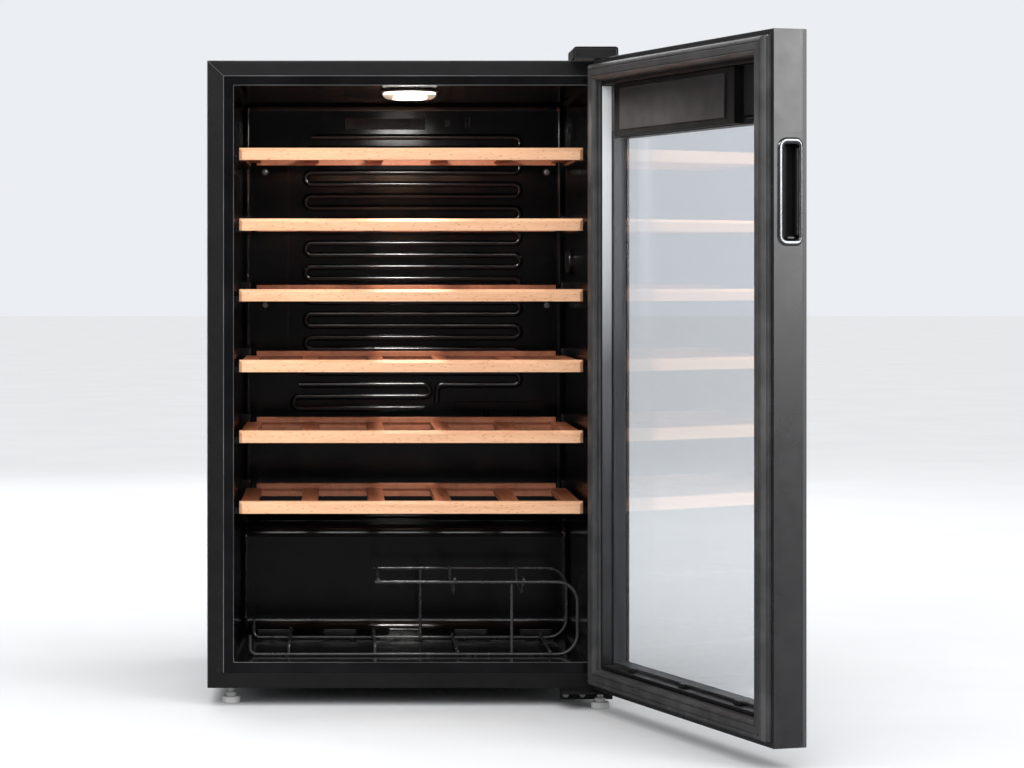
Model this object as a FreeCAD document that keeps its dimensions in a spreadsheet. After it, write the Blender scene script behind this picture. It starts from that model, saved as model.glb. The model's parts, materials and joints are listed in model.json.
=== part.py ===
import FreeCAD, Part
import math
import os
import re
import Sketcher

# Free-standing wine cooler with one glass door, hinged on the right and standing open.
# +X is to the right, +Y to the back and +Z up. z = 0 is the floor.
# Pieces are drawn in the cabinet's own frame: x = 0 is its middle plane, y = 0 its front face.
# The door is drawn closed, then turned about its hinge pin. At the end everything is shifted
# so that the origin is the centre of the whole footprint.

Vector = FreeCAD.Vector
doc = FreeCAD.newDocument("WineCooler")
sheet = doc.addObject("Spreadsheet::Sheet", "Sizes")

SIZES = {
    # cabinet
    "cabinet_width": 540, "cabinet_height": 830, "cabinet_depth": 520, "foot_height": 24,
    "shell_sheet": 1.5, "shell_bend": 3, "side_flange": 22, "top_flange": 20,
    "crossbar_height": 19.5, "crossbar_return": 26, "foam_gap": 6.5,
    # inner liner
    "opening_width": 470, "opening_low": 58, "opening_high": 821.5, "liner_wall": 2,
    "cavity_depth": 465, "hump_front": 365, "hump_top": 215, "liner_radius": 9,
    "hump_radius": 22, "pad_count": 5, "pad_pitch": 94, "pad_width": 47, "pad_depth": 82,
    "pad_back": 250, "pad_round": 14, "pad_sunk": 1, "pad_raised": 5,
    # machine compartment
    "machine_front": 398, "machine_top": 182, "rail_sheet": 2,
    # shelves
    "shelf_count": 6, "shelf_pitch": 93.8, "shelf_top": 739, "shelf_half": 228,
    "fascia_height": 16, "fascia_depth": 17, "fascia_front": 7, "fascia_bevel": 4,
    "slat_width": 22, "slat_thickness": 8, "slat_drop": 1.5, "slat_pitch": 90,
    "end_slat_x": 216, "slat_round": 1.5,
    "rear_rail_front": 291.5, "rear_rail_depth": 16, "rear_rail_half": 212,
    "rear_rail_rise": 5, "rear_rail_height": 18, "groove_depth": 4, "groove_height": 3.5,
    "groove_drop": 7.5,
    # moulded shelf supports
    "support_depth": 16, "support_height": 8, "support_front": 27, "support_back": 325,
    "support_gap": 0.2, "stop_front": 299, "stop_height": 27, "stop_round": 4,
    # evaporator
    "tube_rows": 22, "tube_pitch": 17.4, "tube_top_row": 774, "tube_left": -136,
    "tube_right": 163, "ridge_width": 9, "ridge_height": 2.4, "coil_radius": 3.5,
    "coil_setback": 7.5, "coil_pocket": 15,
    # lamp
    "lamp_radius": 36.5, "lamp_height": 14, "lamp_setback": 95, "lens_wall": 2,
    # hinge
    "pin_x": 259, "pin_setback": 18.5, "pin_radius": 4, "pin_clearance": 0.06,
    "pin_length": 16, "open_angle": 107.8, "hinge_plate": 3,
    # door
    "door_width": 536.7, "door_low": 26, "door_high": 853.3, "door_gap": 13,
    "frame_depth": 37, "frame_wall": 1.5, "box_inset": 28, "box_back": 11,
    "glass_rear": 34, "border": 40, "top_border": 105.5, "outer_glass": 5, "pane": 3,
    "pane_top": 758, "liner_inset": 6, "reveal": 36, "skirt_wall": 3, "skirt_rise": 3,
    "gasket_inset": 7, "gasket_width": 25,
    "gasket_height": 12.7, "gasket_bevel": 2.5, "magnet_inset": 14, "magnet_width": 11,
    "magnet_height": 4.5,
    # handle in the door's free edge
    "grip_low": 610.3, "grip_high": 721.3, "grip_front": 12.3, "grip_back": 32.5,
    "grip_depth": 20, "grip_zone": 12, "bezel_margin": 7, "bezel_side": 4.3, "bezel_thickness": 2,
    "bezel_round": 9, "grip_round": 4.5,
    # wire rack
    "wire_radius": 2, "rack_front": 68, "rack_back": 263, "rack_floor_gap": 0.4,
    "rack_rise": 97, "rack_left": -215, "rack_right": 225, "rack_step": -47,
    "rack_bend": 27, "divider_rise": 13, "cradle_dip": 22, "weld_depth": 0.3,
}

for row, (alias, number) in enumerate(SIZES.items(), start=1):
    sheet.set(f"A{row}", alias)
    sheet.set(f"B{row}", str(number))
    sheet.setAlias(f"B{row}", alias)
doc.recompute()


def bound(text):
    """The same expression with every dimension's name pointing into the sheet."""
    def point(match):
        word = match.group()
        return f"Sizes.{word}" if word in SIZES else word

    return re.sub(r"[a-z_]+", point, str(text))


def value(text):
    """The present number behind an expression."""
    return float(sheet.evalExpression(bound(text)))


# ---------------------------------------------------------------- building blocks

def block(x, y, z):
    """A box from pairs of low and high expressions."""
    item = doc.addObject("Part::Box", "Block")
    for prop, axis, (low, high) in zip(("Length", "Width", "Height"), "xyz", (x, y, z)):
        item.setExpression(prop, bound(f"({high}) - ({low})"))
        item.setExpression(f"Placement.Base.{axis}", bound(low))
    return item


def mirrored(half):
    """The span from minus to plus an expression."""
    return (f"-({half})", half)


TURNS = {
    "x": FreeCAD.Rotation(Vector(0, 1, 0), 90),
    "y": FreeCAD.Rotation(Vector(1, 0, 0), -90),
    "z": FreeCAD.Rotation(),
}


def rod(axis, radius, start, length):
    """A cylinder that runs from start along +axis."""
    item = doc.addObject("Part::Cylinder", "Rod")
    item.Placement = FreeCAD.Placement(Vector(), TURNS[axis])
    item.setExpression("Radius", bound(radius))
    item.setExpression("Height", bound(length))
    for letter, place in zip("xyz", start):
        item.setExpression(f"Placement.Base.{letter}", bound(place))
    return item


def join(*items):
    if len(items) == 1:
        return items[0]
    item = doc.addObject("Part::MultiFuse", "Join")
    item.Shapes = list(items)
    return item


def cut(base, *tools):
    item = doc.addObject("Part::Cut", "Cut")
    item.Base = base
    item.Tool = join(*tools)
    return item


def group(*items):
    """Separate solids that share one node."""
    item = doc.addObject("Part::Compound", "Group")
    item.Links = list(items)
    return item


def picked(item, choose):
    """The numbers of the edges for which choose(centre, direction) is true."""
    doc.recompute()
    found = []
    for number, edge in enumerate(item.Shape.Edges, start=1):
        middle = edge.valueAt((edge.FirstParameter + edge.LastParameter) / 2)
        along = edge.tangentAt((edge.FirstParameter + edge.LastParameter) / 2)
        if choose(middle, along):
            found.append(number)
    return found


def soften(item, radius, choose, kind="Part::Fillet"):
    """Round, or with kind Part::Chamfer bevel, the chosen edges."""
    size = value(radius)
    result = doc.addObject(kind, "Edges")
    result.Base = item
    result.Edges = [(number, size, size) for number in picked(item, choose)]
    doc.recompute()
    return result


def near(a, b):
    return abs(a - b) < 0.01


def outline(body, role, points, name):
    """A closed polygon on one of the body's own planes, each corner bound to the sheet."""
    plane = next(f for f in body.Origin.OriginFeatures if f.Role == role)
    sketch = body.newObject("Sketcher::SketchObject", name)
    sketch.AttachmentSupport = [(plane, "")]
    sketch.MapMode = "FlatFace"
    add_polygon(sketch, points)
    return sketch


def add_polygon(sketch, points):
    first = sketch.GeometryCount
    numbers = [Vector(value(a), value(b), 0) for a, b in points]
    count = len(points)
    for i in range(count):
        sketch.addGeometry(Part.LineSegment(numbers[i], numbers[(i + 1) % count]))
    for i in range(count):
        here, there = first + i, first + (i + 1) % count
        sketch.addConstraint(Sketcher.Constraint("Coincident", here, 2, there, 1))
    for i, (a, b) in enumerate(points):
        for kind, text, number in (("DistanceX", a, numbers[i].x), ("DistanceY", b, numbers[i].y)):
            index = sketch.addConstraint(Sketcher.Constraint(kind, -1, 1, first + i, 1, number))
            sketch.setExpression(f"Constraints[{index}]", bound(text))


def padded_body(name, role, polygons, length, reverse=False):
    """A PartDesign body: one pad of a sketch with one outer and any inner polygons."""
    body = doc.addObject("PartDesign::Body", name)
    sketch = outline(body, role, polygons[0], name + "_sketch")
    for polygon in polygons[1:]:
        add_polygon(sketch, polygon)
    pad = body.newObject("PartDesign::Pad", name + "_pad")
    pad.Profile = sketch
    pad.setExpression("Length", bound(length))
    pad.Reversed = reverse
    doc.recompute()
    return body


def tube(name, radius, corners, bends):
    """A round wire or tube along straight runs joined by tangent arcs.
    bends is one bend radius, or a list with one for each inner corner."""
    if not isinstance(bends, list):
        bends = [bends] * (len(corners) - 2)
    item = doc.addObject("Part::Feature", name)
    item.Shape = swept(circle_at(corners, radius), rounded_path(corners, bends))
    return item


def rounded_path(corners, bends):
    edges = []
    here = corners[0]
    for i, bend in enumerate(bends, start=1):
        before, corner, after = corners[i - 1], corners[i], corners[i + 1]
        into = (corner - before).normalize()
        away = (after - corner).normalize()
        turn = into.getAngle(away)
        back = bend * math.tan(turn / 2)
        start, end = corner - into * back, corner + away * back
        inward = (away - into).normalize()
        middle = corner + inward * (bend / math.cos(turn / 2) - bend)
        if (start - here).Length > 1e-6:
            edges.append(Part.LineSegment(here, start).toShape())
        edges.append(Part.Arc(start, middle, end).toShape())
        here = end
    edges.append(Part.LineSegment(here, corners[-1]).toShape())
    return Part.Wire(edges)


def circle_at(corners, radius):
    return Part.Wire([Part.Circle(corners[0], corners[1] - corners[0], radius).toShape()])


def swept(profile, path):
    return path.makePipeShell([profile], True, False)


NODES = []


def node(label, item, moves_with="cabinet"):
    """Name a finished sub-part. A lone primitive is wrapped, so that it can be placed as a whole."""
    if item.TypeId in ("Part::Box", "Part::Cylinder"):
        item = group(item)
    item.Label = label
    NODES.append((item, moves_with))
    return item


# ---------------------------------------------------------------- shared places

HALF = "cabinet_width / 2"
TOP = "foot_height + cabinet_height"
INSIDE = "cabinet_width / 2 - shell_sheet"
FLANGE_X = "cabinet_width / 2 - side_flange"
FLANGE_Z = "foot_height + cabinet_height - top_flange"
OPEN_X = "opening_width / 2"
PIN_Y = "-door_gap - pin_setback"
DOOR_X = "door_width / 2"


def depth(distance):
    """y of a place inside the closed door, measured from its inner face towards its outside."""
    return f"-door_gap - ({distance})"


def door_span(near_side, far_side):
    """The y range of a door piece between two depths."""
    return (depth(far_side), depth(near_side))


# ---------------------------------------------------------------- cabinet shell

def outer_shell():
    def wrap(inset, y_low, z_low, bend):
        body = block(mirrored(f"{HALF} - {inset}"), (y_low, "cabinet_depth"),
                     (z_low, f"{TOP} - {inset}"))
        side, front, top = value(f"{HALF} - {inset}"), value(y_low), value(f"{TOP} - {inset}")

        def folded(middle, along):
            on_side, on_top = near(abs(middle.x), side), near(middle.z, top)
            return (on_side and on_top) or (near(middle.y, front) and (on_side or on_top))

        return soften(body, bend, folded)

    outside = wrap("0", "0", "foot_height", "shell_bend")
    inside = wrap("shell_sheet", "shell_sheet", "foot_height - 5", "shell_bend - shell_sheet")
    back_slot = block(mirrored(INSIDE), ("cabinet_depth - 5", "cabinet_depth + 5"),
                      ("foot_height - 5", f"{TOP} - shell_sheet"))
    doorway = block(mirrored(FLANGE_X), ("-5", "shell_sheet + 5"), ("foot_height - 5", FLANGE_Z))
    node("outer_shell", cut(outside, inside, back_slot, doorway))


def bottom_crossbar():
    high = "foot_height + crossbar_height"
    face = block(mirrored(FLANGE_X), ("0", "shell_sheet"), ("foot_height", high))
    under = block(mirrored(FLANGE_X), ("0", "crossbar_return"),
                  ("foot_height", "foot_height + shell_sheet"))
    lip = block(mirrored(FLANGE_X), ("0", "12"), (f"{high} - shell_sheet", high))
    node("bottom_crossbar", join(face, under, lip))


def back_and_bottom_panels():
    node("back_panel", block(mirrored(INSIDE), ("cabinet_depth - shell_sheet", "cabinet_depth"),
                             ("machine_top + shell_sheet", f"{TOP} - shell_sheet")))
    floor = block(mirrored(INSIDE), ("crossbar_return", "machine_front"),
                  ("foot_height", "foot_height + shell_sheet"))
    wall = block(mirrored(INSIDE), ("machine_front", "machine_front + shell_sheet"),
                 ("foot_height", "machine_top"))
    roof = block(mirrored(INSIDE), ("machine_front", "cabinet_depth"),
                 ("machine_top", "machine_top + shell_sheet"))
    stud_hole = rod("z", "pin_radius + 0.08", (LEFT_FOOT[0], LEFT_FOOT[1], "foot_height - 5"), "10")
    node("bottom_panel", cut(join(floor, wall, roof), stud_hole))


def cavity(grow):
    """The room inside the liner, or with grow the liner's outer surface."""
    mouth = "-5 * (1 - min(1; " + grow + "))"
    room = block(mirrored(f"{OPEN_X} + {grow}"), (mouth, f"cavity_depth + {grow}"),
                 (f"opening_low - {grow}", f"opening_high + {grow}"))
    hump = block(mirrored(f"{OPEN_X} + {grow} + 5"),
                 (f"hump_front + {grow}", f"cavity_depth + {grow} + 5"),
                 (f"opening_low - {grow} - 5", f"hump_top - {grow}"))
    room = cut(room, hump)
    low, hump_y = value(f"opening_low - {grow}"), value(f"hump_front + {grow}")
    back, hump_z = value(f"cavity_depth + {grow}"), value(f"hump_top - {grow}")

    def across_hump(middle, along):
        corner = (near(middle.y, hump_y) and (near(middle.z, low) or near(middle.z, hump_z)))
        return abs(along.x) > 0.99 and (corner or (near(middle.y, back) and near(middle.z, hump_z)))

    room = soften(room, "hump_radius", across_hump)
    side = value(f"{OPEN_X} + {grow}")

    def sides_and_back(middle, along):
        if middle.y < 1:
            return False
        ceiling = near(middle.z, value(f"opening_high + {grow}"))
        return near(abs(middle.x), side) or ceiling or (near(middle.z, low) and abs(along.y) > 0.99)

    return soften(room, "liner_radius", sides_and_back)


def floor_pads():
    """Shallow rounded recesses in the floor, and the raised pads behind them at the foot of the hump."""
    recesses, pads = [], []
    for number in range(int(value("pad_count"))):
        middle = f"({number} - (pad_count - 1) / 2) * pad_pitch"
        across = (f"{middle} - pad_width / 2", f"{middle} + pad_width / 2")
        recess = block(across, ("pad_back - pad_depth", "pad_back"),
                       ("opening_low - pad_sunk", "opening_low + 5"))
        recesses.append(soften(recess, "pad_round", lambda place, along: abs(along.z) > 0.99))
        low, top = "opening_low - liner_wall", "opening_low + pad_raised"
        pad = block(across, ("hump_front - 16", "hump_front"), (low, top))
        front, high = value("hump_front - 16"), value(top)
        pads.append(soften(pad, "3", lambda place, along: (
            near(place.z, high) and (near(place.y, front) or abs(along.y) > 0.99))))
    return recesses, pads


def inner_liner():
    flange = block(mirrored(FLANGE_X), ("0", "liner_wall"),
                   ("foot_height + crossbar_height", FLANGE_Z))
    filter_hole = rod("x", "12.08", (f"{OPEN_X} - 5", FILTER[0], FILTER[1]), "12")
    recesses, pads = floor_pads()
    tray = cut(join(cavity("liner_wall"), flange), cavity("0"), filter_hole, *recesses)
    node("inner_liner", join(tray, *pads))


def foam_insulation():
    core = block(mirrored(f"{INSIDE} - foam_gap"), ("liner_wall", "cabinet_depth - shell_sheet"),
                 ("foot_height + shell_sheet", f"{TOP} - shell_bend"))
    crossbar = block(mirrored(INSIDE), ("0", "crossbar_return"),
                     ("foot_height", "foot_height + crossbar_height"))
    machine = block(mirrored(INSIDE), ("machine_front", "cabinet_depth"),
                    ("foot_height", "machine_top + shell_sheet"))
    coil = block(("-185", "190"), ("cavity_depth", "cavity_depth + liner_wall + coil_pocket"),
                 ("350", "790"))
    filter_well = rod("x", "14", (OPEN_X, FILTER[0], FILTER[1]), "12")
    lined = cavity("liner_wall")
    pads = floor_pads()[1]
    node("foam_insulation", cut(core, crossbar, machine, coil, filter_well, lined, *pads))


# ---------------------------------------------------------------- inside of the cabinet

def shelf_level(number):
    return f"(shelf_top - {number} * shelf_pitch)"


def shelf_supports():
    """A ledge with a raised rear stop for each shelf on each side wall."""
    pieces = []
    for number in range(int(value("shelf_count"))):
        ledge_top = f"{shelf_level(number)} - slat_drop - slat_thickness - support_gap"
        levels = (f"{ledge_top} - support_height", ledge_top)
        for side in (-1, 1):
            span = sorted((f"{side} * ({OPEN_X})", f"{side} * ({OPEN_X} - support_depth)"), key=value)
            ledge = block(span, ("support_front", "support_back"), levels)
            stop = block(span, ("stop_front", "support_back"),
                         (levels[0], f"{levels[0]} + stop_height"))
            piece = join(ledge, stop)
            free_side = value(f"{side} * ({OPEN_X} - support_depth)")
            pieces.append(soften(piece, "stop_round", lambda middle, along: (
                near(middle.x, free_side) and middle.y > value("stop_front - 1"))))
    node("shelf_supports", group(*pieces))


def serpentine(y, rows, left, right, top_row, tail=None):
    """A path of level runs joined by half circles, in a plane along the back wall.
    With tail, the last run stops there and turns down."""
    pitch = value("tube_pitch")
    radius = pitch / 2
    edges = []
    for row in range(rows):
        z = top_row - row * pitch
        start, end = (left, right) if row % 2 == 0 else (right, left)
        if tail and row == rows - 1:
            end = tail
        edges.append(Part.LineSegment(Vector(start, y, z), Vector(end, y, z)).toShape())
        if row < rows - 1:
            bulge = end + radius * (1 if end > start else -1)
            edges.append(Part.Arc(Vector(end, y, z), Vector(bulge, y, z - radius),
                                  Vector(end, y, z - pitch)).toShape())
    if tail:
        drop = Vector(tail - radius, y, z - radius)
        slant = radius * math.sqrt(0.5)
        shoulder = Vector(tail - slant, y, z - radius + slant)
        edges.append(Part.Arc(Vector(tail, y, z), shoulder, drop).toShape())
        edges.append(Part.LineSegment(drop, drop - Vector(0, 0, pitch)).toShape())
    return Part.Wire(edges)


def ridge_profile(start):
    """A low arched section that stands on the back wall."""
    half, height = value("ridge_width / 2"), value("ridge_height")
    below, above = start - Vector(0, 0, half), start + Vector(0, 0, half)
    arch = Part.Arc(below, start - Vector(0, height, 0), above).toShape()
    return Part.Wire([arch, Part.LineSegment(above, below).toShape()])


def evaporator():
    rows = int(value("tube_rows"))
    top, pitch = value("tube_top_row"), value("tube_pitch")
    wall = value("cavity_depth")
    left, right = value("tube_left"), value("tube_right")
    runs = (
        (rows, left, right, top, right - 105),
        (3, left - 18, 30, top - (rows - 1) * pitch, None),
    )
    ridges = []
    for count, low, high, level, tail in runs:
        ridge = doc.addObject("Part::Feature", "Ridge")
        path = serpentine(wall, count, low, high, level, tail)
        ridge.Shape = swept(ridge_profile(Vector(low, wall, level)), path)
        ridges.append(ridge)
    seam = block(("tube_left - 35", "tube_left - 33.5"), ("cavity_depth - 0.8", "cavity_depth"),
                 ("410", "tube_top_row"))
    node("evaporator_relief", group(*ridges, seam))

    coil = doc.addObject("Part::Feature", "Coil")
    behind = wall + value("coil_setback")
    path = serpentine(behind, rows, left, right, top)
    start = Vector(left, behind, top)
    coil.Shape = swept(circle_at([start, start + Vector(1, 0, 0)], value("coil_radius")), path)
    node("evaporator_coil", coil)


def back_wall_fittings():
    """Screw plugs, the air duct louvre, the temperature probe and the drain trough."""
    plugs = [rod("y", "6", (x, "cavity_depth - 3", z), "3")
             for x in ("211", "-204") for z in ("722", "526")]
    louvre = block(("-86", "32"), ("cavity_depth - 6", "cavity_depth"), ("785", "801"))
    slots = [block((f"{x}", f"{x} + 10"), ("cavity_depth - 8", "cavity_depth - 3"), (z, f"{z} + 2.5"))
             for x in range(-80, 30, 15) for z in ("789", "794.5")]
    window = block(("61", "69"), ("cavity_depth - 2", "cavity_depth"), ("789", "799"))
    probe = [block((x, f"{x} + 2.5"), ("cavity_depth - 7", "cavity_depth"), ("788", "802"))
             for x in ("91", "96")]
    node("back_wall_fittings", group(cut(louvre, *slots), window, *probe, *plugs))

    trough = block(("76", "208"), ("cavity_depth - 10", "cavity_depth"), ("372", "384"))
    hollow = block(("78", "206"), ("cavity_depth - 8", "cavity_depth - 1.5"), ("374", "390"))
    spouts = [rod("z", "4", (x, "cavity_depth - 5", "352"), "20") for x in ("122", "166")]
    node("drain_trough", join(cut(trough, hollow), *spouts))


def lamp():
    ceiling, centre = value("opening_high"), value("lamp_setback")
    lens_low = "opening_high - lamp_height"
    lens = rod("z", "lamp_radius", ("0", "lamp_setback", lens_low), "lamp_height")
    lens = soften(lens, "5", lambda middle, along: middle.z < ceiling - 10 and abs(along.z) < 0.5)
    room = rod("z", "lamp_radius - lens_wall", ("0", "lamp_setback", f"{lens_low} + lens_wall"),
               "lamp_height")
    node("lamp_lens", cut(lens, room))
    board = rod("z", "lamp_radius - 6", ("0", "lamp_setback", "opening_high - 2"), "2")
    chips = []
    for i in range(6):
        x, y = 18 * math.cos(i * math.pi / 3), centre + 18 * math.sin(i * math.pi / 3)
        chips.append(block((f"{x:.2f} - 2", f"{x:.2f} + 2"), (f"{y:.2f} - 2", f"{y:.2f} + 2"),
                           ("opening_high - 3.2", "opening_high - 2")))
    node("lamp_board", join(board, *chips))


def filter_cap():
    """Round bayonet cap of the charcoal filter on the right side wall, with a grip and two curved slots."""
    y, z = FILTER
    plate = rod("x", "19", (f"{OPEN_X} - 6", y, z), "5.7")
    rim = soften(plate, "2", lambda middle, along: near(middle.x, value(f"{OPEN_X} - 6")))
    slots = cut(rod("x", "16", (f"{OPEN_X} - 9", y, z), "5"),
                rod("x", "12.5", (f"{OPEN_X} - 10", y, z), "8"),
                block((f"{OPEN_X} - 10", OPEN_X), (f"{y} - 4", f"{y} + 4"), (f"{z} - 20", f"{z} + 20")))
    grip = block((f"{OPEN_X} - 10", f"{OPEN_X} - 3"), (f"{y} - 1.6", f"{y} + 1.6"),
                 (f"{z} - 14", f"{z} + 14"))
    boss = rod("x", "12", (f"{OPEN_X} - 1", y, z), "2.9")
    node("filter_cap", join(cut(rim, slots), grip, boss))


# ---------------------------------------------------------------- machine compartment

def machine_compartment():
    middle = "machine_front + shell_sheet + 59.5"
    shell = rod("z", "54", ("40", middle, "34"), "125")
    shell = soften(shell, "26", lambda place, along: abs(along.z) < 0.5)
    seam = rod("z", "57", ("40", middle, "94"), "4")
    node("compressor", join(shell, seam))

    rail_z = ("foot_height", "foot_height + rail_sheet")
    rails = [block(mirrored(INSIDE), (low, f"{low} + 20"), rail_z)
             for low in ("machine_front + 6", "machine_front + 96")]
    grommets = [rod("z", "7", (x, y, "foot_height + rail_sheet"), "6")
                for x in ("-22", "102") for y in ("machine_front + 16", "machine_front + 106")]
    feet = block(("-35", "115"), ("machine_front + 8", "machine_front + 114"), ("32", "34"))
    node("compressor_mounts", group(*rails, *grommets, feet))
    relay = block(("98", "122"), (f"{middle} - 20", f"{middle} + 20"), ("60", "108"))
    node("compressor_relay", relay)

    y = value(middle)
    drier = rod("z", "9", ("-70", middle, "60"), "90")
    drier = soften(drier, "4", lambda place, along: abs(along.z) < 0.5)
    discharge = [Vector(-70, y, 60), Vector(-70, y, 44), Vector(-34, y, 44), Vector(-34, y, 84),
                 Vector(-16, y, 84)]
    liquid = [Vector(-70, y, 150), Vector(-70, y, 168), Vector(-262, y, 168)]
    suction = [Vector(-15, y - 14, 112), Vector(-110, y - 14, 112),
               Vector(-110, value("machine_front + shell_sheet"), 112)]
    tubes = [tube("Discharge", 2.5, discharge, 7), tube("Liquid", 2.5, liquid, 9),
             tube("Suction", 4, suction, 14)]
    node("refrigerant_tubes", group(drier, *tubes))

    tray = block(("-30", "110"), (f"{middle} - 50", f"{middle} + 50"), ("160", "172"))
    water = block(("-28", "108"), (f"{middle} - 48", f"{middle} + 48"), ("162", "180"))
    node("drip_tray", cut(tray, water))

    coils = []
    for side in (-1, 1):
        x = side * (value(INSIDE) - value("foam_gap") / 2)
        corners = [Vector(x, 60, 800)]
        for level in range(800, 200, -80):
            far = 470 if corners[-1].y < 200 else 60
            corners += [Vector(x, far, level), Vector(x, far, level - 80)]
        coils.append(tube("Condenser", 2.5, corners[:-1], 20))
    node("condenser_coil", group(*coils))

    plate = block(("-225", "-175"), ("cabinet_depth - 8", "cabinet_depth - 6"),
                  ("foot_height + rail_sheet", "90"))
    gland = rod("y", "9", ("-200", "cabinet_depth - 14", "62"), "14")
    bore = rod("y", "4.2", ("-200", "cabinet_depth - 20", "62"), "30")
    node("cord_gland", cut(join(plate, gland), bore))


# ---------------------------------------------------------------- hinges and feet

def hinges():
    """Steel brackets with fixed pins, the plastic cap over the upper one, and their screws."""
    hole = "pin_radius + 0.08"
    upper = block(("214", "266"), (f"{PIN_Y} - 10", "45"), (TOP, f"{TOP} + hinge_plate"))
    upper = soften(upper, "6", lambda middle, along: abs(along.z) > 0.99)
    upper_pin = rod("z", "pin_radius", ("pin_x", PIN_Y, f"{TOP} - pin_length"), "pin_length + 1")
    node("hinge_bracket_top", join(upper, upper_pin))

    plate_z = ("foot_height - hinge_plate", "foot_height")
    lower = block(("196", "266"), (f"{PIN_Y} - 10", "60"), plate_z)
    skirt = block(("196", "266"), ("-hinge_plate", "0"), ("9.5", "foot_height"))
    lower_pin = rod("z", "pin_radius", ("pin_x", PIN_Y, "foot_height - 1"), "pin_length + 1")
    stud_hole = rod("z", hole, (RIGHT_FOOT[0], RIGHT_FOOT[1], "5"), "30")
    node("hinge_bracket_bottom", cut(join(lower, skirt, lower_pin), stud_hole))

    cover = block(("211", "270"), (f"{PIN_Y} - 15", "50"), (TOP, f"{TOP} + 15.5"))
    top = value(f"{TOP} + 15.5")
    cover = soften(cover, "4", lambda middle, along: near(middle.z, top) or abs(along.z) > 0.99)
    room = block(("213", "268"), (f"{PIN_Y} - 13", "48"), (f"{TOP} - 5", f"{TOP} + 13.5"))
    node("hinge_cover", cut(cover, room))

    heads = [rod("z", "4.5", (x, y, f"{TOP} + hinge_plate"), "2.5")
             for x, y in (("224", "12"), ("224", "34"), ("252", "34"))]
    heads += [rod("y", "4", (x, "-hinge_plate - 2", "16"), "2") for x in ("204", "226")]
    node("hinge_screws", group(*heads))


def feet():
    for name, (x, y), stud_top in (("leveling_foot_left", LEFT_FOOT, "foot_height + 1.3"),
                                   ("leveling_foot_right", RIGHT_FOOT, "foot_height - 0.2")):
        sole = soften(rod("z", "12", (x, y, "0"), "9"), "1.5", lambda middle, along: abs(along.z) < 0.5)
        neck = rod("z", "7", (x, y, "8"), "6")
        stud = rod("z", "pin_radius", (x, y, "8"), f"{stud_top} - 8")
        node(name, join(sole, neck, stud))
    rear = [rod("z", "12", (x, "machine_front + 106", "0"), "foot_height") for x in ("-225", "225")]
    node("rear_feet", group(*rear))


# ---------------------------------------------------------------- shelves and rack

def shelf(number):
    top = shelf_level(number)
    fascia = block(mirrored("shelf_half"), ("fascia_front", "fascia_front + fascia_depth"),
                   (f"{top} - fascia_height", top))
    high, front = value(top), value("fascia_front")

    def front_corner(middle, along):
        return near(middle.y, front) and (near(middle.z, high) or abs(along.z) > 0.99)

    fascia = soften(fascia, "fascia_bevel", front_corner, "Part::Chamfer")
    node(f"shelf_{number + 1}_front_bar", fascia, f"shelf_{number + 1}")

    rail_back = "rear_rail_front + rear_rail_depth"
    rail = block(mirrored("rear_rail_half"), ("rear_rail_front", rail_back),
                 (f"{top} + rear_rail_rise - rear_rail_height", f"{top} + rear_rail_rise"))
    groove_top = f"{top} + rear_rail_rise - groove_drop"
    groove = block(mirrored("rear_rail_half + 5"),
                   ("rear_rail_front - 5", "rear_rail_front + groove_depth"),
                   (f"{groove_top} - groove_height", groove_top))
    pieces = [soften(cut(rail, groove), "slat_round", lambda middle, along: (
        near(middle.z, value(f"{top} + rear_rail_rise")) and abs(along.x) > 0.99))]
    slat_z = (f"{top} - slat_drop - slat_thickness", f"{top} - slat_drop")
    for centre in ("-end_slat_x", "-1.5 * slat_pitch", "-0.5 * slat_pitch", "0.5 * slat_pitch",
                   "1.5 * slat_pitch", "end_slat_x"):
        slat = block((f"{centre} - slat_width / 2", f"{centre} + slat_width / 2"),
                     ("fascia_front + fascia_depth", "rear_rail_front"), slat_z)
        pieces.append(soften(slat, "slat_round", lambda middle, along: (
            near(middle.z, value(slat_z[1])) and abs(along.y) > 0.99)))
    node(f"shelf_{number + 1}_slats", group(*pieces), f"shelf_{number + 1}")


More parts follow.
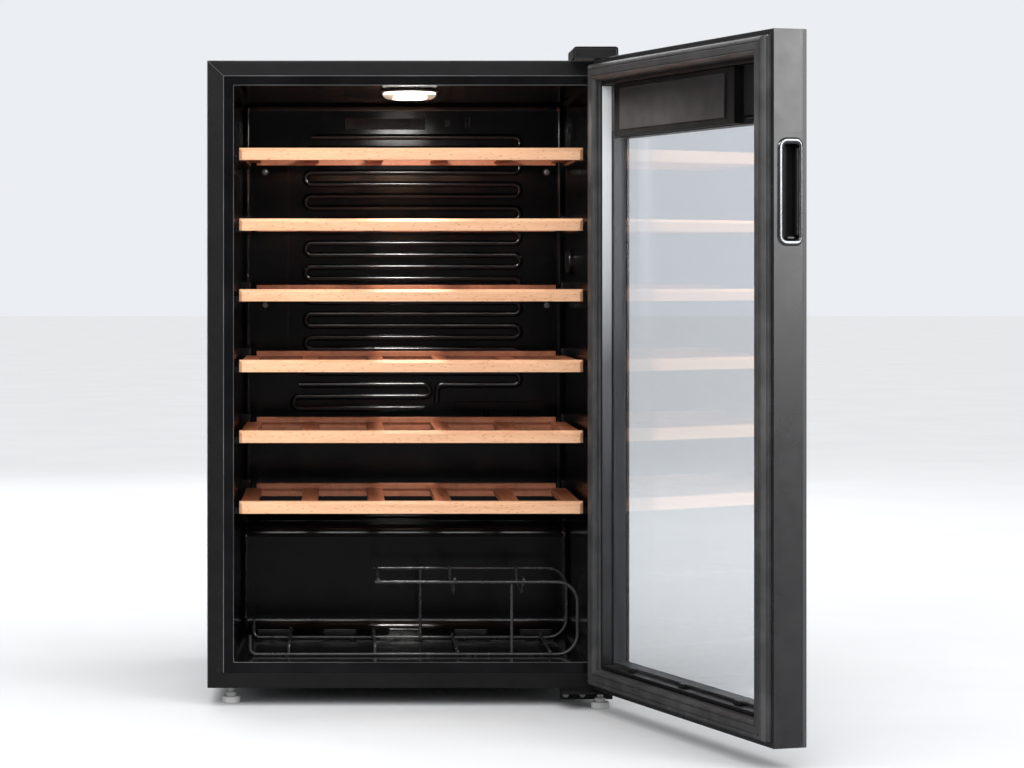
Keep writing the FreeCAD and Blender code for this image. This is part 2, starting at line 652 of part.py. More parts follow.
def wire_rack():
    """Two bent loops, front and back, joined by straight and cradle-shaped cross wires."""
    thick, weld = value("wire_radius"), value("weld_depth")
    floor = value("opening_low + wire_radius + rack_floor_gap")
    high = floor + value("rack_rise")
    left, right, step = value("rack_left"), value("rack_right"), value("rack_step")
    front, back = value("rack_front"), value("rack_back")
    bend = value("rack_bend")
    loops = []
    for y in (front, back):
        corners = [Vector(left, y, floor + 26), Vector(left, y, floor), Vector(right, y, floor),
                   Vector(right, y, high), Vector(step, y, high)]
        loops.append(tube("Loop", thick, corners, [8, bend, bend]))
    node("rack_loops", group(*loops), "wire_rack")

    lap = 2 * thick - weld
    end = 2 * thick
    foot = floor - thick + 2 * weld
    pieces = []
    for x, level in ((64, floor), (188, floor), (step + 4, high)):
        ends = [Vector(x, front - end, level + lap), Vector(x, back + end, level + lap)]
        pieces.append(tube("Cross", thick, ends, []))
    for x in (left + 52, step):
        ridge = floor + value("divider_rise")
        corners = [Vector(x, front + lap, foot), Vector(x, front + lap, ridge),
                   Vector(x, back - lap, ridge), Vector(x, back - lap, foot)]
        pieces.append(tube("Divider", thick, corners, 4))
    for x in (60, 153):
        level = high + lap
        dip = level - value("cradle_dip")
        corners = [Vector(x, front - end, level), Vector(x, front + 22, level), Vector(x, front + 34, dip),
                   Vector(x, back - 34, dip), Vector(x, back - 22, level), Vector(x, back + end, level)]
        pieces.append(tube("Cradle", thick, corners, 8))
    for x, y in ((137, front + lap), (19, back - lap)):
        pieces.append(tube("Post", thick, [Vector(x, y, foot), Vector(x, y, high)], []))
    node("rack_cross_wires", group(*pieces), "wire_rack")


# ---------------------------------------------------------------- door

def stile(side, low, high):
    """A length of a door side: hollow, with a thin side wall and a flange behind the outer glass."""
    def at(inset, distance):
        return (f"{side} * (door_width / 2 - ({inset}))", depth(distance))

    section = [at("0", "0"), at("liner_inset", "0"), at("liner_inset", "frame_wall"),
               at("frame_wall", "frame_wall"), at("frame_wall", "box_back"), at("box_inset", "box_back"),
               at("box_inset", "glass_rear"), at("border", "glass_rear"), at("border", "frame_depth"),
               at("0", "frame_depth")]
    inner, outer = "box_inset - frame_wall", "frame_depth - frame_wall"
    room = [at("frame_wall", "box_back + frame_wall"), at(inner, "box_back + frame_wall"),
            at(inner, outer), at("frame_wall", outer)]
    name = "HingeStile" if side > 0 else "HandleStile"
    body = padded_body(name, "XY_Plane", [section, room], f"({high}) - ({low})")
    body.setExpression("Placement.Base.z", bound(low))
    return body


def door_frame():
    node("door_stile_hinge", group(stile(1, "door_low", "door_high")), "door")
    grip_hole = block((f"-({DOOR_X}) - 5", f"-({DOOR_X}) + grip_depth"),
                      door_span("grip_front - frame_wall", "grip_back + frame_wall"),
                      ("grip_low - frame_wall", "grip_high + frame_wall"))
    zone_low, zone_high = "grip_low - grip_zone", "grip_high + grip_zone"
    lengths = (stile(-1, "door_low", zone_low), cut(stile(-1, zone_low, zone_high), grip_hole),
               stile(-1, zone_high, "door_high"))
    node("door_stile_handle", group(*lengths), "door")

    box_x = f"{DOOR_X} - box_inset"
    glass_x = f"{DOOR_X} - border"
    lip_x = f"{DOOR_X} - liner_inset"

    def rail(edge, inward, box_end, flange_end):
        """edge is the door's end, inward the sign that points to the window."""
        def z(near_edge, far_edge):
            return sorted((near_edge, far_edge), key=value)

        box = block(mirrored(box_x), door_span("box_back", "glass_rear"), z(edge, box_end))
        wall = f"{inward} * frame_wall"
        room = block(mirrored(f"{box_x} + 5"),
                     door_span("box_back + frame_wall", "glass_rear - frame_wall"),
                     z(f"{edge} + {wall}", f"{box_end} - {wall}"))
        flange = block(mirrored(glass_x), door_span("glass_rear", "frame_depth"), z(edge, flange_end))
        skin = block(mirrored(lip_x), door_span("0", "box_back"), z(edge, f"{edge} + {wall}"))
        lip = block(mirrored(lip_x), door_span("0", "frame_wall"),
                    z(edge, f"{edge} + {inward} * liner_inset"))
        return join(cut(box, room), flange, skin, lip)

    top_rail = rail("door_high", -1, "pane_top", "door_high - top_border")
    display_room = block(mirrored("60"), door_span("frame_depth - 2.5", "frame_depth + 5"), ("780", "820"))
    node("door_rail_top", cut(top_rail, display_room), "door")
    node("door_rail_bottom", rail("door_low", 1, "door_low + box_inset", "door_low + border"), "door")
    display = block(mirrored("59.7"), door_span("frame_depth - 2.3", "frame_depth"), ("780.3", "819.7"))
    node("display_module", display, "door")

    hollow_x = (f"{DOOR_X} - box_inset + frame_wall", f"{DOOR_X} - frame_wall")
    bushes = []
    for low, hole_start in (("door_low", "door_low - 5"), ("door_high - 24", "door_high - pin_length - 2")):
        bush = block(hollow_x, door_span("box_back + frame_wall", "frame_depth - frame_wall"),
                     (low, f"{low} + 24"))
        hole = rod("z", "pin_radius + pin_clearance", ("pin_x", PIN_Y, hole_start), "pin_length + 7")
        bushes.append(cut(bush, hole))
    node("hinge_bushes", group(*bushes), "door")


def ring(inset_out, inset_in, near_side, far_side, top_in=None):
    """A rectangular ring in the door's plane, between two insets from the door's edges."""
    top_in = top_in or f"door_high - ({inset_in})"
    outside = block(mirrored(f"{DOOR_X} - ({inset_out})"), door_span(near_side, far_side),
                    (f"door_low + {inset_out}", f"door_high - ({inset_out})"))
    inside = block(mirrored(f"{DOOR_X} - ({inset_in})"), door_span(f"{near_side} - 5", f"{far_side} + 5"),
                   (f"door_low + {inset_in}", top_in))
    return cut(outside, inside)


def door_lining_and_seal():
    face = ring("liner_inset", "reveal", "0", "skirt_wall")
    skirt = ring("reveal - skirt_wall", "reveal", "-skirt_rise", "box_back")
    node("door_liner", join(face, skirt), "door")

    seal = ring("gasket_inset", "gasket_inset + gasket_width", "-gasket_height", "0")
    crest = value(depth("-gasket_height"))
    seal = soften(seal, "gasket_bevel", lambda middle, along: near(middle.y, crest), "Part::Chamfer")
    slot_in, slot_out = "magnet_inset - 0.4", "magnet_inset + magnet_width + 0.4"
    slot = ring(slot_in, slot_out, "-magnet_height - 0.4", "5")
    lines = [ring(f"gasket_inset + {place}", f"gasket_inset + {place} + 1.2", "-gasket_height - 1",
                  "-gasket_height + 1.2") for place in ("7", "17")]
    node("door_gasket", cut(seal, slot, *lines), "door")
    strips = ring("magnet_inset", "magnet_inset + magnet_width", "-magnet_height", "-0.1")
    node("gasket_magnets", strips, "door")


def glazing():
    pane_x = mirrored(f"{DOOR_X} - box_inset")
    pane_z = ("door_low + box_inset", "pane_top")
    node("glass_inner_pane", block(pane_x, door_span("box_back", "box_back + pane"), pane_z), "door")
    node("glass_middle_pane", block(pane_x, door_span("glass_rear - pane", "glass_rear"), pane_z), "door")
    outer = block(mirrored(DOOR_X), door_span("frame_depth", "frame_depth + outer_glass"),
                  ("door_low", "door_high"))
    front = value(depth("frame_depth + outer_glass"))
    outer = soften(outer, "1", lambda middle, along: near(middle.y, front), "Part::Chamfer")
    node("glass_outer_pane", outer, "door")

    outside = block(mirrored(f"{DOOR_X} - border + 10"),
                    door_span("box_back + pane", "glass_rear - pane"),
                    ("door_low + border - 10", "pane_top - 2"))
    inside = block(mirrored(f"{DOOR_X} - border"), door_span("box_back", "glass_rear"),
                   ("door_low + border", "door_high - top_border"))
    node("glass_spacer", cut(outside, inside), "door")


def controls():
    """Electronics box at the top of the door's inner side, its cover plate and circuit board."""
    case_x = (f"{DOOR_X} - 434", f"{DOOR_X} - 73")
    case_z = ("door_high - top_border + 1", "door_high - reveal - 1")
    case = block(case_x, door_span("-1.5", "box_back"), case_z)
    room = block((f"{case_x[0]} + 2", f"{case_x[1]} - 2"), door_span("0.5", "box_back + 5"),
                 (f"{case_z[0]} + 2", f"{case_z[1]} - 2"))
    node("control_housing", cut(case, room), "door")
    cover = block((f"{DOOR_X} - 409", f"{DOOR_X} - 93"), door_span("-3", "-1.5"), ("756", "810"))
    face = value(depth("-3"))
    cover = soften(cover, "1", lambda middle, along: near(middle.y, face), "Part::Chamfer")
    node("control_cover", cover, "door")
    board = block((f"{DOOR_X} - 388", f"{DOOR_X} - 118"), door_span("6.2", "7.8"), ("762", "804"))
    layout = ((-100, 768, 24, 20), (-50, 772, 14, 14), (0, 768, 30, 26), (60, 775, 40, 12),
              (115, 768, 18, 28))
    parts = [block((f"{x}", f"{x} + {width}"), door_span("2", "6.2"), (f"{z}", f"{z} + {height}"))
             for x, z, width, height in layout]
    node("control_board", join(board, *parts), "door")


def handle():
    """Finger cup let into the free edge of the door, with a bright rim round its mouth."""
    edge = f"-({DOOR_X})"
    outside = block((edge, f"{edge} + grip_depth"),
                    door_span("grip_front - frame_wall", "grip_back + frame_wall"),
                    ("grip_low - frame_wall", "grip_high + frame_wall"))
    room = block((f"{edge} - 5", f"{edge} + grip_depth - frame_wall"),
                 door_span("grip_front", "grip_back"), ("grip_low", "grip_high"))
    room = soften(room, "grip_round", lambda middle, along: abs(along.x) > 0.99)
    rib = block((f"{edge} + 7", f"{edge} + grip_depth - 1"),
                door_span("grip_front - 0.5", "grip_front + 4"),
                ("grip_low + 18", "grip_high - 18"))
    node("handle_cup", join(cut(outside, room), rib), "door")

    rim = block((f"{edge} - bezel_thickness", edge),
                door_span("grip_front - 8.1", "grip_back + bezel_side"),
                ("grip_low - bezel_margin", "grip_high + bezel_margin"))
    rim = soften(rim, "bezel_round", lambda middle, along: abs(along.x) > 0.99)
    mouth = block((f"{edge} - 10", f"{edge} + 10"), door_span("grip_front", "grip_back"),
                  ("grip_low", "grip_high"))
    mouth = soften(mouth, "grip_round", lambda middle, along: abs(along.x) > 0.99)
    rim = cut(rim, mouth)
    face = value(f"{edge} - bezel_thickness")
    rim = soften(rim, "0.8", lambda middle, along: near(middle.x, face))
    node("handle_bezel", rim, "door")


# ---------------------------------------------------------------- assembly

LEFT_FOOT = ("-239.6", "38")
RIGHT_FOOT = ("248", "-19")
FILTER = ("292", "589")

outer_shell()
bottom_crossbar()
back_and_bottom_panels()
inner_liner()
foam_insulation()
shelf_supports()
evaporator()
back_wall_fittings()
lamp()
filter_cap()
machine_compartment()
hinges()
feet()
for shelf_number in range(int(value("shelf_count"))):
    shelf(shelf_number)
wire_rack()
door_frame()
door_lining_and_seal()
glazing()
controls()
handle()
doc.recompute()

pin = Vector(value("pin_x"), value(PIN_Y), 0)
opened = FreeCAD.Placement(Vector(), FreeCAD.Rotation(Vector(0, 0, 1), value("open_angle")), pin)
for item, moves_with in NODES:
    if moves_with == "door":
        item.Placement = opened
doc.recompute()

bounds = FreeCAD.BoundBox()
for item, moves_with in NODES:
    bounds.add(item.Shape.BoundBox)
shift = FreeCAD.Placement(Vector(-bounds.Center.x, -bounds.Center.y, 0), FreeCAD.Rotation())
for item, moves_with in NODES:
    item.Placement = shift * item.Placement
doc.recompute()

failed = [thing.Label for thing in doc.Objects if {"Invalid", "Error"} & set(thing.State)]
failed += [item.Label for item, moves_with in NODES if item.Shape.isNull() or not item.Shape.isValid()]
if failed:
    raise SystemExit("failed: " + ", ".join(failed))

os.makedirs("parts", exist_ok=True)
for item, moves_with in NODES:
    item.Shape.exportStep(f"parts/{item.Label}.step")
print("nodes", len(NODES))
print("cabinet frame shifted by", shift.Base)
print("hinge pin at", shift.Base + pin)
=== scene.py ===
import json
import math
import random

import bmesh
import bpy
from mathutils import Matrix, Vector


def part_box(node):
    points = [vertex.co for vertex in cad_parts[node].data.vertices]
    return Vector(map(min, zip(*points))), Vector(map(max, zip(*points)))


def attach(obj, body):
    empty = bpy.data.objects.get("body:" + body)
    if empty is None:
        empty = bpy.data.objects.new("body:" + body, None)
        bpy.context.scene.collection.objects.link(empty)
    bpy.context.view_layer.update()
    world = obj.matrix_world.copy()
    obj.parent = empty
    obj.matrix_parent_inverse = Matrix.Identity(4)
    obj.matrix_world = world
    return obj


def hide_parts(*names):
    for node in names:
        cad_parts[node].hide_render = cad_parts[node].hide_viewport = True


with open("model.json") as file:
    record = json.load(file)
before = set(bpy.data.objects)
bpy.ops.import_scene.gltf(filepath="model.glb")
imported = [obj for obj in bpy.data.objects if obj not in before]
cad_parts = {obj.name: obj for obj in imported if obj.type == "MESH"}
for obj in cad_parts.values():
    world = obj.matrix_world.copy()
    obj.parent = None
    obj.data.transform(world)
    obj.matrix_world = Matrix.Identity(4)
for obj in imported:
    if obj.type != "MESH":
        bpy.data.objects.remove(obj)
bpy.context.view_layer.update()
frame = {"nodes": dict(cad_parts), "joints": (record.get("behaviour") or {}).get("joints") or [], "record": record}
nodes = frame["nodes"]
random.seed(7)

MM = 0.001


# ---------------------------------------------------------------- places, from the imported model

def in_mm(metres):
    """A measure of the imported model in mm, without its rounding noise."""
    return round(metres / MM, 2)


shell_low, shell_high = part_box("outer_shell")
liner_low, liner_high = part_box("inner_liner")
supports_low, supports_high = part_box("shelf_supports")
lamp_low, lamp_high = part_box("lamp_lens")
pane_low, pane_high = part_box("glass_outer_pane")
bezel_low, bezel_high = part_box("handle_bezel")

MIDDLE = (shell_low.x + shell_high.x) / 2
FRONT = shell_low.y
LAMP = Vector(((lamp_low.x + lamp_high.x) / 2, (lamp_low.y + lamp_high.y) / 2, lamp_low.z))

# The cabinet's measures are mm from its middle, from its front face and from the floor. OPENING_LOW is
# the liner's floor, which no box gives.
SHELL_HALF = in_mm(shell_high.x - MIDDLE)
SHELL_LOW = in_mm(shell_low.z)
SHELL_HIGH = in_mm(shell_high.z)
BACK = in_mm(shell_high.y - FRONT)
LINER_HALF = in_mm(liner_high.x - MIDDLE)
LINER_LOW = in_mm(liner_low.z)
LINER_HIGH = in_mm(liner_high.z)
OPENING_HALF = in_mm(supports_high.x - MIDDLE)
OPENING_LOW = 58
OPENING_HIGH = in_mm(lamp_high.z)

# The door's measures are mm from its hinge side, from its inner face outwards and from the floor. DOOR_GAP
# lies between that face and the cabinet's front when the door is closed. The spacer between the panes shows
# its two upright faces between the door's rails.
DOOR_WIDE = 536.7
DOOR_LOW = in_mm(pane_low.z)
DOOR_HIGH = in_mm(pane_high.z)
DOOR_GAP = 13
SPACER_LOW = in_mm(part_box("door_rail_bottom")[1].z)
SPACER_HIGH = in_mm(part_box("door_rail_top")[0].z)
SPACER_FACES = (40.06, 496.6)

# The finger cup's mouth in the door's free edge, and how far its bright rim reaches past it.
RIM_INWARDS, RIM_OUTWARDS, RIM_ENDS = 8.1, 4.3, 7
GRIP_LOW = in_mm(bezel_low.z) + RIM_ENDS
GRIP_HIGH = in_mm(bezel_high.z) - RIM_ENDS
GRIP_FRONT, GRIP_BACK = 12.3, 32.5
GRIP_CORNER = 4.5

hinge = next(joint for joint in frame["joints"] if joint["name"] == "door_hinge")
PIN = Vector(hinge["pos_m"])
OPEN_TURN = Matrix.Rotation(math.radians(-hinge["range_deg"][0]), 4, "Z")


def cab(x, y, z):
    """A point of the cabinet, in mm from its middle, its front face and the floor."""
    return Vector((MIDDLE + x * MM, FRONT + y * MM, z * MM))


def on_door(across, depth, z):
    """A point of the open door, in mm: from its hinge side, out from its inner face, and from the floor."""
    closed = cab(DOOR_WIDE / 2 - across, -DOOR_GAP - depth, z)
    return OPEN_TURN @ (closed - PIN) + PIN


DOOR_OUT = (on_door(0, 1, 0) - on_door(0, 0, 0)).normalized()


# ---------------------------------------------------------------- node trees

# How far shading rounds a hard edge, in mm.
EDGE_RADIUS = 0.7
# A Mix node's two colours and its result, by the numbers of their sockets.
MIX_A, MIX_B, MIX_RESULT = 6, 7, 2


def grey(value):
    """A neutral colour."""
    return (value, value, value)


class Tree:
    """A node tree, of a material or of the world."""

    def __init__(self, tree):
        self.tree = tree

    def link(self, output, socket):
        self.tree.links.new(output, socket)

    def add(self, kind, values=(), **settings):
        """A new node; values maps its inputs to numbers, colours or other nodes' outputs."""
        node = self.tree.nodes.new(kind)
        for key, setting in settings.items():
            setattr(node, key, setting)
        for socket, value in dict(values).items():
            if isinstance(value, bpy.types.NodeSocket):
                self.link(value, node.inputs[socket])
            else:
                node.inputs[socket].default_value = value
        return node

    def spread(self, factor, low, high, start=0.25, end=0.75):
        """A factor between start and end, carried to low and high."""
        values = {0: factor, "From Min": start, "From Max": end, "To Min": low, "To Max": high}
        return self.add("ShaderNodeMapRange", values).outputs[0]


class Shader(Tree):
    """A Principled material whose colour, roughness and bump come from noise in object space."""

    def __init__(self, name, colour, roughness=0.5, metallic=0.0, **sockets):
        self.mat = bpy.data.materials.new(name)
        self.mat.use_nodes = True
        super().__init__(self.mat.node_tree)
        self.bsdf = self.tree.nodes["Principled BSDF"]
        self.set("Base Color", (*colour, 1))
        self.set("Roughness", roughness)
        self.set("Metallic", metallic)
        for socket, number in sockets.items():
            self.set(socket.replace("_", " "), number)
        self.coords = self.add("ShaderNodeTexCoord").outputs["Object"]
        self.normal = None
        if not self.bsdf.inputs["Transmission Weight"].default_value:
            soft = self.add("ShaderNodeBevel", {"Radius": EDGE_RADIUS * MM}, samples=4)
            self.normal = soft.outputs[0]
            self.link(self.normal, self.bsdf.inputs["Normal"])

    def set(self, socket, number):
        self.bsdf.inputs[socket].default_value = number

    def stretched(self, scale):
        return self.add("ShaderNodeMapping", {"Vector": self.coords, "Scale": scale}).outputs[0]

    def noise(self, scale, detail=3.0, roughness=0.55, vector=None, distortion=0.0):
        values = {"Vector": vector or self.coords, "Scale": scale, "Detail": detail,
                  "Roughness": roughness, "Distortion": distortion}
        return self.add("ShaderNodeTexNoise", values).outputs["Fac"]

    def cells(self, output, scale, vector=None):
        values = {"Vector": vector or self.coords, "Scale": scale}
        return self.add("ShaderNodeTexVoronoi", values).outputs[output]

    def ramp(self, factor, *stops):
        """A colour ramp through stops, each a place and a colour."""
        node = self.add("ShaderNodeValToRGB", {0: factor})
        elements = node.color_ramp.elements
        while len(elements) < len(stops):
            elements.new(0.5)
        for element, (place, colour) in zip(elements, stops):
            element.position = place
            element.color = (*colour, 1)
        return node.outputs[0]

    def mix(self, kind, factor, a, b):
        values = {0: factor, MIX_A: a, MIX_B: b}
        return self.add("ShaderNodeMix", values, data_type="RGBA", blend_type=kind).outputs[MIX_RESULT]

    def colour(self, output):
        self.link(output, self.bsdf.inputs["Base Color"])

    def rough(self, scale, low, high, detail=3.0):
        """Roughness that wanders between low and high."""
        self.link(self.spread(self.noise(scale, detail), low, high), self.bsdf.inputs["Roughness"])

    def bump(self, height, depth, strength=1.0):
        """Relief, depth mm deep, on top of the bump that is there already."""
        node = self.add("ShaderNodeBump", {"Height": height, "Distance": depth * MM, "Strength": strength})
        if self.normal:
            self.link(self.normal, node.inputs["Normal"])
        self.normal = node.outputs[0]
        self.link(self.normal, self.bsdf.inputs["Normal"])


# ---------------------------------------------------------------- materials
# Here rough is the range of the roughness, and the depths of peel, grain and ripple are in mm.

def painted(name, colour, rough, peel=0.03, peel_scale=700, specular=0.5):
    """Powder coat: a fine orange peel, with its tone and gloss uneven."""
    s = Shader(name, colour, Specular_IOR_Level=specular)
    lighter = tuple(c * 1.3 + 0.0006 for c in colour)
    s.colour(s.ramp(s.noise(60, detail=5), (0.35, colour), (0.75, lighter)))
    s.rough(26, *rough)
    s.bump(s.noise(peel_scale, detail=2), peel)
    return s.mat


def moulded(name, colour, rough, grain=0.02, grain_scale=1500, specular=0.5, ripple=0.06):
    """Moulded plastic: fine spark-eroded grain over a slow ripple."""
    s = Shader(name, colour, Specular_IOR_Level=specular)
    lighter = tuple(c * 1.5 + 0.003 for c in colour)
    s.colour(s.ramp(s.noise(14, detail=4), (0.4, colour), (0.8, lighter)))
    s.rough(40, *rough)
    s.bump(s.noise(grain_scale, detail=2), grain)
    s.bump(s.noise(14, detail=1), ripple)
    return s.mat


def wood(name, pale, dark, fleck, along, gloss):
    """Beech: long soft bands, short darker ray flecks, fine pores along the grain."""

    def by_grain(length, width, height):
        scale = (length, width, height) if along == "x" else (width, length, height)
        return s.stretched(scale)

    s = Shader(name, pale)
    palest = tuple(min(1, c * 1.1) for c in pale)
    bands = s.noise(6, detail=5, roughness=0.6, vector=by_grain(1, 14, 14), distortion=0.6)
    base = s.ramp(bands, (0.3, dark), (0.5, pale), (0.72, palest))
    pores = s.noise(9, detail=4, roughness=0.7, vector=by_grain(6, 150, 150))
    base = s.mix("MULTIPLY", 0.5, base, s.ramp(pores, (0.35, (0.72, 0.62, 0.55)), (0.6, grey(1))))
    rays = s.cells("Distance", 1, by_grain(90, 700, 420))
    near_ray = s.ramp(rays, (0.1, grey(1)), (0.22, grey(0)))
    base = s.mix("MIX", near_ray, base, (*fleck, 1))
    tone = s.ramp(s.noise(3, detail=2, roughness=0.5), (0.3, (0.86, 0.82, 0.8)), (0.7, grey(1)))
    s.colour(s.mix("MULTIPLY", 0.5, base, tone))
    s.rough(60, gloss, gloss + 0.16)
    s.bump(pores, 0.12)
    s.bump(s.noise(5, detail=5, roughness=0.6, vector=by_grain(1, 14, 14)), 0.2, strength=0.5)
    return s.mat


def brushed(name, colour, rough):
    """Drawn metal with fine lines in it."""
    s = Shader(name, colour, metallic=1.0)
    darker = tuple(c * 0.8 for c in colour)
    lines = s.noise(1, detail=4, roughness=0.7, vector=s.stretched((4, 900, 900)))
    s.colour(s.ramp(lines, (0.3, darker), (0.7, colour)))
    s.rough(35, *rough)
    s.bump(lines, 0.01)
    return s.mat


def zinc(name):
    """Galvanised steel with its spangle."""
    s = Shader(name, (0.5, 0.5, 0.48), metallic=0.8)
    s.colour(s.ramp(s.cells("Color", 190), (0.2, (0.47, 0.48, 0.48)), (0.8, (0.6, 0.6, 0.59))))
    s.rough(50, 0.3, 0.5)
    s.bump(s.noise(300), 0.03)
    return s.mat


def rubber(name, colour, rough):
    """Soft rubber: dusty in places, with a slow unevenness."""
    s = Shader(name, colour, Specular_IOR_Level=0.4)
    dusty = tuple(c * 1.6 + 0.006 for c in colour)
    s.colour(s.ramp(s.noise(30, detail=5), (0.4, colour), (0.7, dusty)))
    s.rough(70, *rough)
    s.bump(s.noise(900), 0.02)
    s.bump(s.noise(12, detail=2), 0.12)
    return s.mat


def glass(name, colour, tint):
    """Clear sheet glass with the faintest wipe marks; its ground edges are satin and dark.

    Its refractive index is below that of real glass, so that three panes together stay clear.
    """
    s = Shader(name, colour, roughness=0.0, Transmission_Weight=1.0, IOR=1.23)
    s.colour(s.ramp(s.noise(3, detail=2), (0.3, colour), (0.7, tint)))
    s.rough(5, 0.0, 0.02, detail=5)
    normal = s.add("ShaderNodeTexCoord").outputs["Normal"]
    facing = s.add("ShaderNodeVectorMath", {0: normal, 1: DOOR_OUT}, operation="DOT_PRODUCT")
    either_way = s.add("ShaderNodeMath", {0: facing.outputs["Value"]}, operation="ABSOLUTE")
    broad = s.add("ShaderNodeMath", {0: either_way.outputs[0], 1: 0.9}, operation="GREATER_THAN")
    edge = s.add("ShaderNodeBsdfPrincipled", {"Base Color": (0.05, 0.052, 0.055, 1), "Roughness": 0.32})
    join = s.add("ShaderNodeMixShader", {0: broad.outputs[0], 1: edge.outputs[0], 2: s.bsdf.outputs[0]})
    s.link(join.outputs[0], s.tree.nodes["Material Output"].inputs["Surface"])
    return s.mat


def chromed(name):
    """Plated plastic, a little hazed."""
    s = Shader(name, (0.3, 0.305, 0.315), metallic=1.0)
    s.colour(s.ramp(s.noise(20), (0.3, (0.27, 0.275, 0.285)), (0.7, (0.33, 0.335, 0.345))))
    s.rough(60, 0.2, 0.27)
    return s.mat


def edge_highlight_paint(name):
    """Painted highlight for the coated sheet's edges: a light satin grey that stands in for the light the folds
    catch.
    """
    s = Shader(name, (0.1, 0.1, 0.102), roughness=0.3, Specular_IOR_Level=0.8)
    s.colour(s.ramp(s.noise(7, detail=5), (0.35, (0.06, 0.06, 0.061)), (0.65, (0.17, 0.17, 0.173))))
    s.rough(50, 0.28, 0.4)
    return s.mat


# How far from the lamp's middle the lens starts to dim, and where its glow has gone, in metres.
GLOW_FULL, GLOW_GONE = 0.012, 0.025


def lit_lens(name):
    """Ribbed diffuser: white where the light shines through its middle, dull towards its sides."""
    s = Shader(name, grey(0.9), roughness=0.2, Transmission_Weight=0.5, IOR=1.45)
    centred = s.add("ShaderNodeMapping", {"Vector": s.coords, "Location": -LAMP})
    oval = s.add("ShaderNodeVectorMath", {0: centred.outputs[0], 1: (1, 0.25, 1.6)}, operation="MULTIPLY")
    reach = s.add("ShaderNodeVectorMath", {0: oval.outputs[0]}, operation="LENGTH")
    fall = s.spread(reach.outputs["Value"], 7.0, 0.03, start=GLOW_FULL, end=GLOW_GONE)
    speckle = s.ramp(s.noise(420, detail=2), (0.42, grey(0.25)), (0.6, grey(1.3)))
    power = s.add("ShaderNodeMath", {0: fall, 1: speckle}, operation="MULTIPLY")
    s.link(power.outputs[0], s.bsdf.inputs["Emission Strength"])
    s.set("Emission Color", (1.0, 0.985, 0.96, 1))
    s.rough(80, 0.12, 0.3)
    s.bump(s.noise(500, detail=2), 0.03)
    return s.mat


def foamed(name):
    """Sprayed polyurethane: yellow, matt and pitted."""
    s = Shader(name, (0.7, 0.6, 0.38), roughness=0.9)
    s.colour(s.ramp(s.noise(60, detail=6), (0.3, (0.6, 0.48, 0.26)), (0.7, (0.78, 0.69, 0.46))))
    s.bump(s.noise(500, detail=6), 0.4)
    return s.mat


# The heights between which the foil's painted highlight goes from dark to bright, in metres.
SHEEN_FOOT, SHEEN_TOP = 0.06, 0.82


def painted_sheen_foil(name):
    """Satin foil on the door's inner step: a painted highlight bright at its upper end, painted shade dull and
    dark lower down.
    """
    s = Shader(name, (0.7, 0.71, 0.72), roughness=0.35)
    height = s.add("ShaderNodeSeparateXYZ", {0: s.coords}).outputs["Z"]
    share = s.spread(height, 0, 1, start=SHEEN_FOOT, end=SHEEN_TOP)
    # painted highlight and shade: the colour runs from near black at the foot to near white at the top
    painted_sheen = s.ramp(share, (0.0, grey(0.012)), (0.3, (0.03, 0.03, 0.031)), (0.52, (0.12, 0.12, 0.124)),
                  (0.68, (0.55, 0.56, 0.57)), (0.9, (0.9, 0.91, 0.92)))
    lines = s.noise(1, detail=4, roughness=0.6, vector=s.stretched((600, 600, 3)))
    s.colour(s.mix("MULTIPLY", 0.6, painted_sheen, s.ramp(lines, (0.3, grey(0.86)), (0.7, grey(1)))))
    s.rough(40, 0.28, 0.42)
    return s.mat


